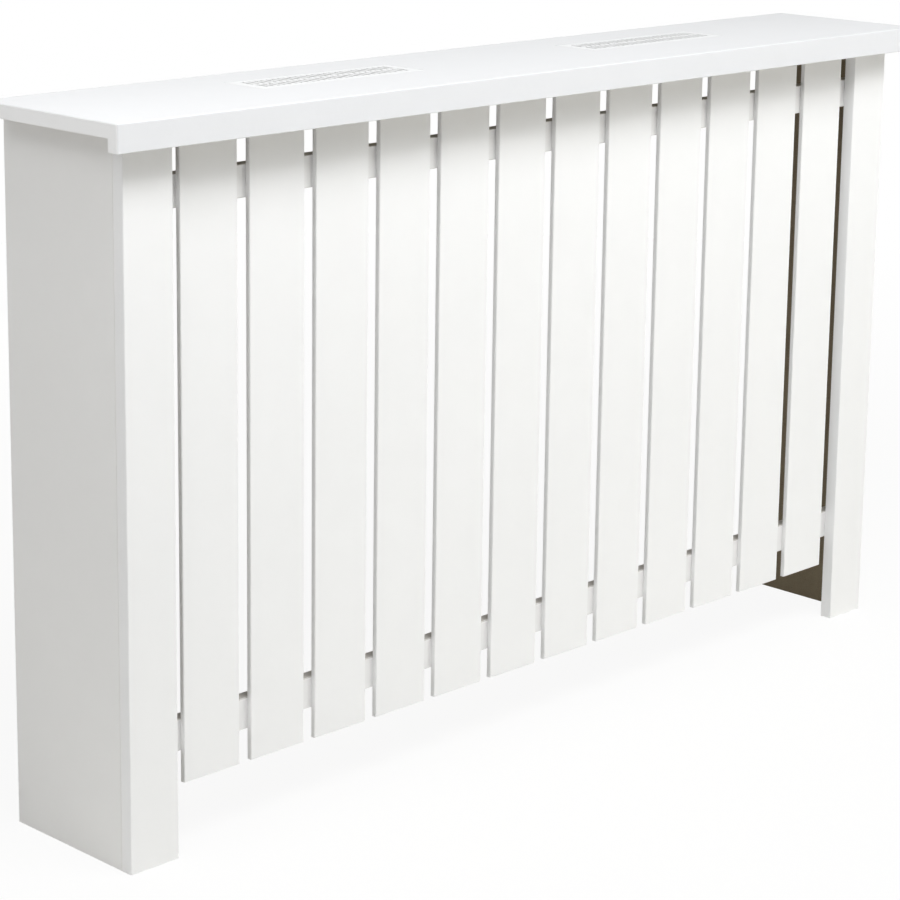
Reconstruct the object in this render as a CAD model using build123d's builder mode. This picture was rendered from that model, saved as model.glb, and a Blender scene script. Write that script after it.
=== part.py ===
from build123d import *
import os

os.makedirs("parts", exist_ok=True)

# A cover that stands over a wall radiator. Two side panels carry stiles at the front,
# two rails lap the backs of the stiles and of a row of upright slats, and a shelf top
# with two vent grilles lies on the whole. The back is open to the wall.
#
# X runs along the front, Y from the room to the wall, Z up from the floor.
# The origin is on the floor, under the middle of the top. Everything is in millimetres.

# ---------------------------------------------------------------- driving sizes

# Whole cover
cover_height = 815.0
body_width = 1300.0
body_depth = 200.0
side_overhang = 28.0
front_overhang = 28.0

# Boards
top_thickness = 16.0
panel_thickness = 16.0
stile_width = 66.0
stile_thickness = 16.0
rail_height = 36.0
rail_thickness = 16.0
lower_rail_height = 115.0
upper_rail_drop = 51.0
lip_thickness = 15.0
lip_drop = 14.5

# Slats
slat_width = 79.0
slat_thickness = 6.0
slat_foot_gap = 79.0
slat_head_gap = 2.0
least_slat_gap = 16.0

# Eased edges
corner_radius = 2.0
board_easing = 1.5
slat_easing = 0.8
joint_easing = 0.6

# Vent grilles, let into the top
vent_length = 248.0
vent_width = 65.0
vent_spacing = 542.0
vent_setback = 135.0
vent_fit = 0.4
grille_plate = 2.0
grille_rim = 6.0
grille_wall = 1.5
grille_skirt = 9.0
grille_easing = 0.6
slot_width = 4.0
slot_bar = 4.6
slot_margin = 3.0
slot_rows = 2
row_bar = 4.0

# Staples through the rails into the slats and stiles
staple_crown = 10.0
staple_wire = 1.2
slat_skin = 2.0

# Dowels, and cams with their bolts, between stiles and side panels
dowel_radius = 4.0
dowel_length = 30.0
dowel_end_room = 1.0
blind_floor = 4.0
cam_radius = 7.5
cam_floor = 3.5
cam_inset = 24.0
cam_end_distance = 200.0
cam_fit = 0.1
driver_slot_width = 1.4
driver_slot_length = 9.0
driver_slot_depth = 2.0
bolt_radius = 2.5
bolt_head_radius = 3.0
bolt_head_length = 3.5
bolt_head_fit = 0.3
bolt_bore_radius = 3.5

# Steel angle brackets
bracket_thickness = 2.0
bracket_bend = 1.0
bracket_corner = 3.0
bracket_hole_margin = 8.0
bracket_hole_radius = 2.0
top_bracket_leg = 28.0
top_bracket_width = 18.0
top_bracket_front_gap = 30.0
top_bracket_wall_gap = 34.0
wall_bracket_leg = 30.0
wall_bracket_wall_leg = 34.0
wall_bracket_width = 20.0
wall_bracket_drop = 100.0
wall_hole_radius = 2.75

# ---------------------------------------------------------------- derived places

top_width = body_width + 2 * side_overhang
top_depth = body_depth + front_overhang
top_underside = cover_height - top_thickness
top_front = -top_depth / 2
wall_plane = top_depth / 2

side_outer = body_width / 2
side_inner = side_outer - panel_thickness
stile_front = top_front + front_overhang
stile_back = stile_front + stile_thickness
rail_back = stile_back + rail_thickness
stile_inner = side_outer - stile_width
panel_depth = wall_plane - stile_back
panel_middle = side_outer - panel_thickness / 2

rail_bottoms = (lower_rail_height, top_underside - upper_rail_drop - rail_height)
rail_middles = [z + rail_height / 2 for z in rail_bottoms]

slat_span = 2 * stile_inner
slat_count = int((slat_span - least_slat_gap) / (slat_width + least_slat_gap))
slat_gap = (slat_span - slat_count * slat_width) / (slat_count + 1)
slat_pitch = slat_width + slat_gap
slat_height = top_underside - slat_head_gap - slat_foot_gap
slat_centres = [-stile_inner + slat_gap + slat_width / 2 + i * slat_pitch for i in range(slat_count)]

vent_centre_y = top_front + vent_setback
vent_centres = [(-vent_spacing / 2, vent_centre_y), (vent_spacing / 2, vent_centre_y)]
grille_body_length = vent_length - 2 * grille_rim
grille_body_width = vent_width - 2 * grille_rim
slot_area_length = grille_body_length - 2 * (grille_wall + slot_margin)
slot_area_width = grille_body_width - 2 * (grille_wall + slot_margin)
slot_length = (slot_area_width - (slot_rows - 1) * row_bar) / slot_rows
slot_pitch = slot_width + slot_bar
slot_count = int((slot_area_length + slot_bar) / slot_pitch)

# A staple stands in the middle of each slat, and where a rail laps a stile.
staple_bite = slat_thickness - slat_skin
staple_reach = rail_thickness + staple_bite
staple_leg_spacing = staple_crown - staple_wire
stile_lap_middle = (stile_inner + side_inner) / 2
staple_centres = [-stile_lap_middle, *slat_centres, stile_lap_middle]

# A dowel reaches to the floor of the stile's hole and has a little room in the panel's.
stile_hole_depth = stile_thickness - blind_floor
panel_dowel_bore = dowel_length - stile_hole_depth + dowel_end_room
dowel_height = top_underside / 2
cam_heights = (cam_end_distance, top_underside - cam_end_distance)
cam_centre_y = stile_back + cam_inset
cam_depth = panel_thickness - cam_floor
cam_throat_width = 2 * (bolt_head_radius + bolt_head_fit)
bolt_tip = cam_centre_y + bolt_head_length / 2

top_bracket_places = (rail_back + top_bracket_front_gap, wall_plane - top_bracket_wall_gap)
top_bracket_hole = top_bracket_leg - bracket_hole_margin
wall_bracket_height = top_underside - wall_bracket_drop
wall_bracket_hole_y = wall_plane - wall_bracket_leg + bracket_hole_margin
wall_hole_x = side_inner - wall_bracket_wall_leg + bracket_hole_margin

# Faces that holes are made from
inner_face = Plane(origin=(-side_inner, 0, 0), x_dir=(0, 1, 0), z_dir=(1, 0, 0))
panel_front = Plane(origin=(0, stile_back, 0), x_dir=(1, 0, 0), z_dir=(0, -1, 0))
stile_rear = Plane(origin=(0, stile_back, 0), x_dir=(-1, 0, 0), z_dir=(0, 1, 0))

print(f"top {top_width:.1f} x {top_depth:.1f}, {slat_count} slats with gaps of {slat_gap:.2f}")
print(f"{slot_count} slots in each of {slot_rows} rows, {slot_length:.2f} long")

# ---------------------------------------------------------------- top

with BuildPart() as top_panel:
    with BuildSketch(Plane.XY.offset(top_underside)):
        Rectangle(top_width, top_depth)
    extrude(amount=top_thickness)
    fillet(top_panel.edges().filter_by(Axis.Z), corner_radius)
    fillet(top_panel.faces().sort_by(Axis.Z)[-1].edges(), board_easing)
    # Each grille's plate lies in a shallow rebate round its opening.
    with BuildSketch(Plane.XY.offset(cover_height)):
        with Locations(*vent_centres):
            Rectangle(vent_length + 2 * vent_fit, vent_width + 2 * vent_fit)
    extrude(amount=-grille_plate, mode=Mode.SUBTRACT)
    with BuildSketch(Plane.XY.offset(cover_height)):
        with Locations(*vent_centres):
            Rectangle(grille_body_length + 2 * vent_fit, grille_body_width + 2 * vent_fit)
    extrude(amount=-top_thickness, mode=Mode.SUBTRACT)
top_panel.part.label = "top_panel"
export_step(top_panel.part, "parts/top_panel.step")

# A strip under the front edge makes the top look thicker.
with BuildPart() as front_lip:
    with BuildSketch(Plane.XY.offset(top_underside)):
        with Locations((0, top_front + lip_thickness / 2)):
            Rectangle(top_width, lip_thickness)
    extrude(amount=-lip_drop)
    fillet(front_lip.edges().filter_by(Axis.Z).group_by(Axis.Y)[0], corner_radius)
    chamfer(front_lip.faces().sort_by(Axis.Z)[0].edges(), joint_easing)
front_lip.part.label = "front_lip"
export_step(front_lip.part, "parts/front_lip.step")

# ---------------------------------------------------------------- vent grilles

for side, centre in zip(("left", "right"), vent_centres):
    with BuildPart() as vent_grille:
        with BuildSketch(Plane.XY.offset(cover_height)):
            with Locations(centre):
                Rectangle(vent_length, vent_width)
        extrude(amount=-grille_plate)
        chamfer(vent_grille.faces().sort_by(Axis.Z)[-1].edges(), grille_easing)
        # A skirt under the plate fills the opening in the top.
        with BuildSketch(Plane.XY.offset(cover_height - grille_plate)):
            with Locations(centre):
                Rectangle(grille_body_length, grille_body_width)
                Rectangle(
                    grille_body_length - 2 * grille_wall,
                    grille_body_width - 2 * grille_wall,
                    mode=Mode.SUBTRACT,
                )
        extrude(amount=-grille_skirt)
        # Rows of slots run from the front of the plate to its back.
        with BuildSketch(Plane.XY.offset(cover_height)):
            with Locations(centre):
                with GridLocations(slot_pitch, slot_length + row_bar, slot_count, slot_rows):
                    Rectangle(slot_width, slot_length)
        extrude(amount=-grille_plate, mode=Mode.SUBTRACT)
    vent_grille.part.label = f"vent_grille_{side}"
    export_step(vent_grille.part, f"parts/vent_grille_{side}.step")

# ---------------------------------------------------------------- side panels and stiles

with BuildPart() as side_panel_left:
    with BuildSketch(Plane.XY):
        with Locations((-panel_middle, wall_plane - panel_depth / 2)):
            Rectangle(panel_thickness, panel_depth)
    extrude(amount=top_underside)
    outer_uprights = side_panel_left.edges().filter_by(Axis.Z).group_by(Axis.X)[0].sort_by(Axis.Y)
    fillet(outer_uprights[-1], board_easing)
    chamfer(outer_uprights[0], joint_easing)
    # The cams' bores open to the inner face, and meet the bolts' bores from the front edge.
    with Locations(inner_face):
        with Locations(*[(cam_centre_y, z) for z in cam_heights]):
            Hole(cam_radius + cam_fit, cam_depth)
    with Locations(panel_front):
        with Locations(*[(-panel_middle, z) for z in cam_heights]):
            Hole(bolt_bore_radius, cam_inset)
        with Locations((-panel_middle, dowel_height)):
            Hole(dowel_radius, panel_dowel_bore)
side_panel_left.part.label = "side_panel_left"
export_step(side_panel_left.part, "parts/side_panel_left.step")

with BuildPart() as side_panel_right:
    mirror(side_panel_left.part, about=Plane.YZ)
side_panel_right.part.label = "side_panel_right"
export_step(side_panel_right.part, "parts/side_panel_right.step")

with BuildPart() as stile_left:
    with BuildSketch(Plane.XY):
        with Locations((-side_outer + stile_width / 2, stile_back - stile_thickness / 2)):
            Rectangle(stile_width, stile_thickness)
    extrude(amount=top_underside)
    stile_uprights = stile_left.edges().filter_by(Axis.Z).group_by(Axis.Y)
    fillet(stile_uprights[0], board_easing)
    chamfer(stile_uprights[-1].sort_by(Axis.X)[0], joint_easing)
    with Locations(stile_rear):
        with Locations(*[(panel_middle, z) for z in cam_heights]):
            Hole(bolt_radius, stile_hole_depth)
        with Locations((panel_middle, dowel_height)):
            Hole(dowel_radius, stile_hole_depth)
    with BuildSketch(stile_rear):
        for z in rail_middles:
            with Locations((stile_lap_middle, z)):
                with GridLocations(staple_leg_spacing, 0, 2, 1):
                    Rectangle(staple_wire, staple_wire)
    extrude(amount=-staple_bite, mode=Mode.SUBTRACT)
stile_left.part.label = "stile_left"
export_step(stile_left.part, "parts/stile_left.step")

with BuildPart() as stile_right:
    mirror(stile_left.part, about=Plane.YZ)
stile_right.part.label = "stile_right"
export_step(stile_right.part, "parts/stile_right.step")

# ---------------------------------------------------------------- rails and slats

for name, rail_bottom in zip(("rail_lower", "rail_upper"), rail_bottoms):
    with BuildPart() as rail:
        with BuildSketch(Plane.XY.offset(rail_bottom)):
            with Locations((0, stile_back + rail_thickness / 2)):
                Rectangle(2 * side_inner, rail_thickness)
        extrude(amount=rail_height)
        chamfer(rail.edges().filter_by(Axis.X), joint_easing)
        with BuildSketch(stile_rear):
            for x in staple_centres:
                with Locations((x, rail_bottom + rail_height / 2)):
                    with GridLocations(staple_leg_spacing, 0, 2, 1):
                        Rectangle(staple_wire, staple_wire)
        extrude(amount=rail_thickness, mode=Mode.SUBTRACT)
    rail.part.label = name
    export_step(rail.part, f"parts/{name}.step")

for number, slat_centre in enumerate(slat_centres, start=1):
    with BuildPart() as slat:
        with BuildSketch(Plane.XY.offset(slat_foot_gap)):
            with Locations((slat_centre, stile_back - slat_thickness / 2)):
                Rectangle(slat_width, slat_thickness)
        extrude(amount=slat_height)
        chamfer(slat.faces().sort_by(Axis.Y)[0].edges(), slat_easing)
        with BuildSketch(stile_rear):
            for z in rail_middles:
                with Locations((-slat_centre, z)):
                    with GridLocations(staple_leg_spacing, 0, 2, 1):
                        Rectangle(staple_wire, staple_wire)
        extrude(amount=-staple_bite, mode=Mode.SUBTRACT)
    slat.part.label = f"slat_{number:02d}"
    export_step(slat.part, f"parts/slat_{number:02d}.step")

# One staple, its crown on the back of a rail, is copied to every crossing.
with BuildPart() as staple:
    with BuildSketch(Plane.XY.offset(-staple_wire / 2)):
        with Locations((0, staple_wire)):
            Rectangle(staple_crown, staple_wire + staple_reach, align=(Align.CENTER, Align.MAX))
        Rectangle(
            staple_crown - 2 * staple_wire,
            staple_reach,
            align=(Align.CENTER, Align.MAX),
            mode=Mode.SUBTRACT,
        )
    extrude(amount=staple_wire)

with BuildPart() as rail_staples:
    with Locations(*[(x, rail_back, z) for x in staple_centres for z in rail_middles]):
        add(staple.part)
rail_staples.part.label = "rail_staples"
export_step(rail_staples.part, "parts/rail_staples.step")

# ---------------------------------------------------------------- dowels, bolts and cams

with BuildPart() as stile_dowels:
    with BuildSketch(stile_rear.offset(-stile_hole_depth)):
        with Locations((-panel_middle, dowel_height), (panel_middle, dowel_height)):
            Circle(dowel_radius)
    extrude(amount=dowel_length)
stile_dowels.part.label = "stile_dowels"
export_step(stile_dowels.part, "parts/stile_dowels.step")

# A bolt is turned into the back of each stile, and a cam in the side panel catches its head.
with BuildPart() as stile_bolts:
    for z in cam_heights:
        with BuildSketch(Plane.XY.offset(z)):
            with BuildLine():
                Polyline(
                    (-panel_middle, stile_back - stile_hole_depth),
                    (-panel_middle + bolt_radius, stile_back - stile_hole_depth),
                    (-panel_middle + bolt_radius, bolt_tip - bolt_head_length),
                    (-panel_middle + bolt_head_radius, bolt_tip - bolt_head_length),
                    (-panel_middle + bolt_head_radius, bolt_tip),
                    (-panel_middle, bolt_tip),
                    close=True,
                )
            make_face()
        revolve(axis=Axis((-panel_middle, 0, z), (0, 1, 0)))
    mirror(about=Plane.YZ)
stile_bolts.part.label = "stile_bolts"
export_step(stile_bolts.part, "parts/stile_bolts.step")

# A cam's face is flush with the inside of the panel and has a cross for the driver.
with BuildPart() as panel_cams:
    with BuildSketch(inner_face):
        with Locations(*[(cam_centre_y, z) for z in cam_heights]):
            Circle(cam_radius)
    extrude(amount=-cam_depth)
    with BuildSketch(inner_face):
        with Locations(*[(cam_centre_y, z) for z in cam_heights]):
            Rectangle(driver_slot_length, driver_slot_width)
            Rectangle(driver_slot_width, driver_slot_length)
    extrude(amount=-driver_slot_depth, mode=Mode.SUBTRACT)
    with BuildSketch(panel_front.offset(-cam_inset - bolt_head_length)):
        with Locations(*[(-panel_middle, z) for z in cam_heights]):
            Rectangle(cam_throat_width, cam_throat_width)
    extrude(amount=cam_radius + bolt_head_length, mode=Mode.SUBTRACT)
    mirror(about=Plane.YZ)
panel_cams.part.label = "panel_cams"
export_step(panel_cams.part, "parts/panel_cams.step")

# ---------------------------------------------------------------- angle brackets

# Angles hang under the top, each with one leg on a side panel.
with BuildPart() as top_brackets:
    for y in top_bracket_places:
        with BuildSketch(Plane.XZ.offset(-y - top_bracket_width / 2)):
            with BuildLine():
                FilletPolyline(
                    (-side_inner, top_underside - top_bracket_leg),
                    (-side_inner, top_underside),
                    (-side_inner + top_bracket_leg, top_underside),
                    radius=bracket_bend + bracket_thickness,
                )
                offset(amount=bracket_thickness, side=Side.RIGHT)
            make_face()
        extrude(amount=top_bracket_width)
    chamfer(top_brackets.edges().filter_by(Axis.X).group_by(Axis.Z)[0], bracket_corner)
    chamfer(top_brackets.edges().filter_by(Axis.Z).group_by(Axis.X)[-1], bracket_corner)
    with Locations(Plane.XY.offset(top_underside)):
        with Locations(*[(-side_inner + top_bracket_hole, y) for y in top_bracket_places]):
            Hole(bracket_hole_radius, bracket_thickness)
    with Locations(inner_face.offset(bracket_thickness)):
        with Locations(*[(y, top_underside - top_bracket_hole) for y in top_bracket_places]):
            Hole(bracket_hole_radius, bracket_thickness)
    mirror(about=Plane.YZ)
top_brackets.part.label = "top_brackets"
export_step(top_brackets.part, "parts/top_brackets.step")

# Angles at the back take the screws that hold the cover to the wall.
with BuildPart() as wall_brackets:
    with BuildSketch(Plane.XY.offset(wall_bracket_height - wall_bracket_width / 2)):
        with BuildLine():
            FilletPolyline(
                (-side_inner, wall_plane - wall_bracket_leg),
                (-side_inner, wall_plane),
                (-side_inner + wall_bracket_wall_leg, wall_plane),
                radius=bracket_bend + bracket_thickness,
            )
            offset(amount=bracket_thickness, side=Side.RIGHT)
        make_face()
    extrude(amount=wall_bracket_width)
    chamfer(wall_brackets.edges().filter_by(Axis.X).group_by(Axis.Y)[0], bracket_corner)
    chamfer(wall_brackets.edges().filter_by(Axis.Y).group_by(Axis.X)[-1], bracket_corner)
    with Locations(inner_face.offset(bracket_thickness)):
        with Locations((wall_bracket_hole_y, wall_bracket_height)):
            Hole(bracket_hole_radius, bracket_thickness)
    with Locations(Plane(origin=(0, wall_plane, 0), x_dir=(-1, 0, 0), z_dir=(0, 1, 0))):
        with Locations((wall_hole_x, wall_bracket_height)):
            Hole(wall_hole_radius, bracket_thickness)
    mirror(about=Plane.YZ)
wall_brackets.part.label = "wall_brackets"
export_step(wall_brackets.part, "parts/wall_brackets.step")
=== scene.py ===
# %% [markdown]
# # A white radiator cover with upright slats
#
# The cover stands over a wall radiator. Its boards are fibreboard, sprayed white on every side
# that shows and left bare on the sides that face the wall. The boards come from the CAD model,
# which already has their sizes and edges, so this lesson is about finishes: how to give a plain
# white board a believable film of paint, how to stop that paint at the back, and how to light
# white on white without losing its edges.

# %% Load the CAD model
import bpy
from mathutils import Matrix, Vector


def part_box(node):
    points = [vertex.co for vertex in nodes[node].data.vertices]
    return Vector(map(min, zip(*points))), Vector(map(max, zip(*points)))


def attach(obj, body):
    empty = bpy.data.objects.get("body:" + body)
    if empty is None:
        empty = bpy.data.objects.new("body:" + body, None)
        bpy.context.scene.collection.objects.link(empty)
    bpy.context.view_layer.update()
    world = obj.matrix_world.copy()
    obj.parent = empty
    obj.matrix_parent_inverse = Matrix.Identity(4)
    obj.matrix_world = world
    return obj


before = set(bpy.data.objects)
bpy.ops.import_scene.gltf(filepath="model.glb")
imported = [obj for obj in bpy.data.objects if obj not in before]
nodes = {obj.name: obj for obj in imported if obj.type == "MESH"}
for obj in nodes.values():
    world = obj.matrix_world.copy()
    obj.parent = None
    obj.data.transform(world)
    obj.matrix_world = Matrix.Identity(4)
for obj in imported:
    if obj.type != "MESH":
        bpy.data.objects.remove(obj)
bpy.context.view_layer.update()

import bpy
import bmesh
import math
from mathutils import Matrix, Vector

# %% [markdown]
# ## A short way to write shader nodes
#
# A material in Blender is a graph. Written out in full, each node takes four or five lines, and
# the idea gets lost. A few small helpers keep the graph readable. One adds a node and sets its
# sockets, one joins two sockets, and the rest each write a common node in one line: a sum, a
# blend of two colours or numbers, and a vector split into its parts.

# %% Helpers for sums and blends
def add(tree, kind, place, **values):
    """Adds one node. Names that start with a capital letter are sockets, the rest are settings."""
    made = tree.nodes.new(kind)
    made.location = place
    for name, value in values.items():
        if name[0].isupper():
            made.inputs[name.replace("_", " ")].default_value = value
        else:
            setattr(made, name, value)
    return made


def join(tree, out, into):
    tree.links.new(out, into)


def feed(tree, side, socket):
    """A side is either the socket of another node, which is joined, or a value, which is set."""
    if isinstance(side, bpy.types.NodeSocket):
        join(tree, side, socket)
    else:
        socket.default_value = side


def sum_of(tree, operation, first, second, place, third=None):
    """One Math node. MULTIPLY_ADD has a third side, and ABSOLUTE and SIGN ignore the second."""
    made = add(tree, "ShaderNodeMath", place, operation=operation)
    feed(tree, first, made.inputs[0])
    feed(tree, second, made.inputs[1])
    if third is not None:
        feed(tree, third, made.inputs[2])
    return made.outputs[0]


# A Mix node keeps sockets for every kind of data. For each kind: both sides, and the result.
MIX_SOCKETS = {"FLOAT": (2, 3, 0), "RGBA": (6, 7, 2)}


def blend(tree, kind, amount, first, second, place, mode="MIX"):
    """One Mix node, for numbers (FLOAT) or for colours (RGBA)."""
    made = add(tree, "ShaderNodeMix", place, data_type=kind, blend_type=mode)
    first_in, second_in, result = MIX_SOCKETS[kind]
    feed(tree, amount, made.inputs[0])
    feed(tree, first, made.inputs[first_in])
    feed(tree, second, made.inputs[second_in])
    return made.outputs[result]


def blend_colours(tree, amount, first, second, place, mode="MIX"):
    return blend(tree, "RGBA", amount, first, second, place, mode)


def multiply_colours(tree, first, second, place):
    return blend_colours(tree, 1.0, first, second, place, "MULTIPLY")


def shade(tree, colour, value, grey_place, place):
    """Makes a colour darker by a value. The value first becomes a grey."""
    grey = add(tree, "ShaderNodeCombineColor", grey_place)
    for socket in grey.inputs:
        join(tree, value, socket)
    return multiply_colours(tree, colour, grey.outputs[0], place)


def split(tree, vector, place):
    """The X, Y and Z of a vector."""
    made = add(tree, "ShaderNodeSeparateXYZ", place)
    join(tree, vector, made.inputs[0])
    return made.outputs


print("helpers for sums and blends ready")

# %% [markdown]
# Surfaces need patterns as well. A noise gives clouds and grain, stretched coordinates draw the
# grain out into fibres, and a Map Range node picks out the part of a pattern that counts. The
# effects are kept in node groups, so that one effect serves many materials.

# %% Helpers for patterns and groups
def noise(tree, where, place, scale, detail, roughness=0.5):
    made = add(tree, "ShaderNodeTexNoise", place, Scale=scale, Detail=detail, Roughness=roughness)
    join(tree, where, made.inputs["Vector"])
    return made.outputs["Fac"]


def stretched(tree, where, place, scale, turn=(0, 0, 0)):
    """Coordinates with a scale of their own along each axis."""
    lay = add(tree, "ShaderNodeMapping", place, Rotation=turn, Scale=scale)
    join(tree, where, lay.inputs["Vector"])
    return lay.outputs["Vector"]


def remap(tree, value, old, new, place):
    """One Map Range node, which also clamps. old and new are pairs of low and high."""
    made = add(tree, "ShaderNodeMapRange", place, interpolation_type="SMOOTHSTEP")
    join(tree, value, made.inputs["Value"])
    for name, number in zip(("From Min", "From Max", "To Min", "To Max"), (*old, *new)):
        made.inputs[name].default_value = number
    return made.outputs["Result"]


FLOAT = "NodeSocketFloat"
COLOUR = "NodeSocketColor"
VECTOR = "NodeSocketVector"


def new_group(name, inputs, outputs):
    """An empty node group with named sockets. inputs holds (name, kind, value) for each."""
    tree = bpy.data.node_groups.new(name, "ShaderNodeTree")
    for label, kind, value in inputs:
        socket = tree.interface.new_socket(label, in_out="INPUT", socket_type=kind)
        socket.default_value = value
    for label, kind in outputs:
        tree.interface.new_socket(label, in_out="OUTPUT", socket_type=kind)
    taken = add(tree, "NodeGroupInput", (-1400, 0))
    given = add(tree, "NodeGroupOutput", (900, 0))
    return tree, taken.outputs, given.inputs


print("helpers for patterns and groups ready")

# %% [markdown]
# ## The film of paint
#
# Fibreboard furniture is finished with a satin paint. Close to, the film isn't flat: it has a
# fine stipple from the roller or the spray gun, and a slower ripple that is called orange peel.
# Farther off one sees only their effect, which is a sheen that varies a little from place to
# place. The stipple could be modelled, but at a few hundredths of a millimetre it is far
# smaller than any mesh should be. It goes into a height that a Bump node reads.
#
# Every CAD piece has its origin in the same spot, so object coordinates are metres in the
# shared frame. One scale of noise then means one size of grain on every board.

# %% Group: paint film
peel_height = 1.6


def build_paint_film():
    tree, taken, given = new_group(
        "paint film",
        [("Colour", COLOUR, (0.8, 0.8, 0.8, 1)), ("Sheen", FLOAT, 0.4), ("Stipple", FLOAT, 1.0)],
        [("Colour", COLOUR), ("Roughness", FLOAT), ("Height", FLOAT)],
    )
    where = add(tree, "ShaderNodeTexCoord", (-1400, -300)).outputs["Object"]
    stipple = noise(tree, where, (-1100, 200), scale=620.0, detail=2.0)
    peel = noise(tree, where, (-1100, -50), scale=130.0, detail=1.0)
    patches = noise(tree, where, (-1100, -300), scale=4.5, detail=3.0, roughness=0.6)
    coats = noise(tree, where, (-1100, -550), scale=26.0, detail=2.0)
    # Thicker and thinner coats change the tone by about one part in a hundred.
    tone = remap(tree, patches, (0.3, 0.7), (0.985, 1.0), (-800, -250))
    fine_tone = remap(tree, coats, (0.3, 0.7), (0.994, 1.0), (-800, -500))
    both = sum_of(tree, "MULTIPLY", tone, fine_tone, (-550, -350))
    join(tree, shade(tree, taken["Colour"], both, (-350, -350), (-100, 100)), given["Colour"])
    ripple = remap(tree, patches, (0.25, 0.75), (-0.05, 0.06), (-550, -100))
    grain = remap(tree, stipple, (0.3, 0.7), (-0.03, 0.03), (-550, 100))
    sheen = sum_of(tree, "ADD", taken["Sheen"], ripple, (-300, -100))
    join(tree, sum_of(tree, "ADD", sheen, grain, (-100, -100)), given["Roughness"])
    raised_peel = sum_of(tree, "MULTIPLY", peel, peel_height, (-550, 300))
    height = sum_of(tree, "ADD", stipple, raised_peel, (-300, 300))
    join(tree, sum_of(tree, "MULTIPLY", height, taken["Stipple"], (-100, 300)), given["Height"])
    return tree


paint_film = build_paint_film()
print("paint film:", len(paint_film.nodes), "nodes")

# %% [markdown]
# ## Bare fibreboard
#
# The sides that no one sees are left unpainted. Medium-density fibreboard is ground wood pressed
# with glue: a warm brown felt, with pale and dark fibres a millimetre or two long that lie every
# way, and now and then a dark fleck of bark. Two stretched noises crossed at an angle give the
# felt, a Voronoi gives the flecks, and a slow noise gives the cloudiness of a sanded sheet.

# %% Group: bare fibreboard
fibre_stretch = (300.0, 1500.0, 1500.0)
dark_fibre = (0.62, 0.56, 0.5, 1)
pale_fibre = (1.18, 1.16, 1.12, 1)
cloud_brown = (0.34, 0.29, 0.2, 1)
bark_brown = (0.1, 0.06, 0.035, 1)


def build_bare_fibreboard():
    tree, taken, given = new_group(
        "bare fibreboard",
        [("Colour", COLOUR, (0.4, 0.28, 0.16, 1)), ("Fibres", FLOAT, 1.0)],
        [("Colour", COLOUR), ("Roughness", FLOAT), ("Height", FLOAT)],
    )
    where = add(tree, "ShaderNodeTexCoord", (-1400, -300)).outputs["Object"]
    strands = []
    for turn, up in ((0.5, 250), (-0.9, 0)):
        lay = (turn, turn * 1.3, turn * 0.7)
        fibre = stretched(tree, where, (-1150, up), fibre_stretch, lay)
        strands.append(noise(tree, fibre, (-950, up), scale=1.0, detail=3.0, roughness=0.65))
    crossed_strands = sum_of(tree, "ADD", strands[0], strands[1], (-750, 150))
    felt = sum_of(tree, "MULTIPLY", crossed_strands, 0.5, (-600, 150))
    cloud = noise(tree, where, (-950, -300), scale=14.0, detail=4.0, roughness=0.6)
    fleck = add(tree, "ShaderNodeTexVoronoi", (-950, -550), Scale=260.0)
    join(tree, where, fleck.inputs["Vector"])
    bark = remap(tree, fleck.outputs["Distance"], (0.08, 0.16), (1.0, 0.0), (-700, -550))
    light = remap(tree, felt, (0.35, 0.65), (0.0, 1.0), (-400, 150))
    streaks = blend_colours(tree, light, dark_fibre, pale_fibre, (-200, 150))
    fibres = blend_colours(tree, taken["Fibres"], (1, 1, 1, 1), streaks, (0, 150))
    toned = multiply_colours(tree, taken["Colour"], fibres, (200, 150))
    cloudiness = remap(tree, cloud, (0.3, 0.7), (0.0, 0.35), (0, -200))
    clouded = blend_colours(tree, cloudiness, toned, cloud_brown, (400, 50))
    bark_share = sum_of(tree, "MULTIPLY", bark, 0.6, (400, -400))
    join(tree, blend_colours(tree, bark_share, clouded, bark_brown, (600, 0)), given["Colour"])
    join(tree, remap(tree, felt, (0.3, 0.7), (0.95, 0.78), (0, -350)), given["Roughness"])
    join(tree, sum_of(tree, "MULTIPLY", felt, taken["Fibres"], (200, -500)), given["Height"])
    return tree


bare_fibreboard = build_bare_fibreboard()
print("bare fibreboard:", len(bare_fibreboard.nodes), "nodes")

# %% [markdown]
# ## Where the paint ends
#
# A spray gun paints what it points at. The face of a board is covered, the far side stays bare,
# and a soft mist creeps a few millimetres round each edge. The mask for this is built from two
# things that every surface knows: which way it faces, and where it lies in its own board.
#
# Generated coordinates run from 0 to 1 over a piece. Multiplied by the board's real size they
# tell how far a point is from each edge, so the mist has the same width on a slat and on a rail.
# Two noises then fray its border, a slow one into drifts and a fast one into single specks.

# %% Group: spray mist
drift_gain, drift_start = 1.6, -0.3


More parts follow.
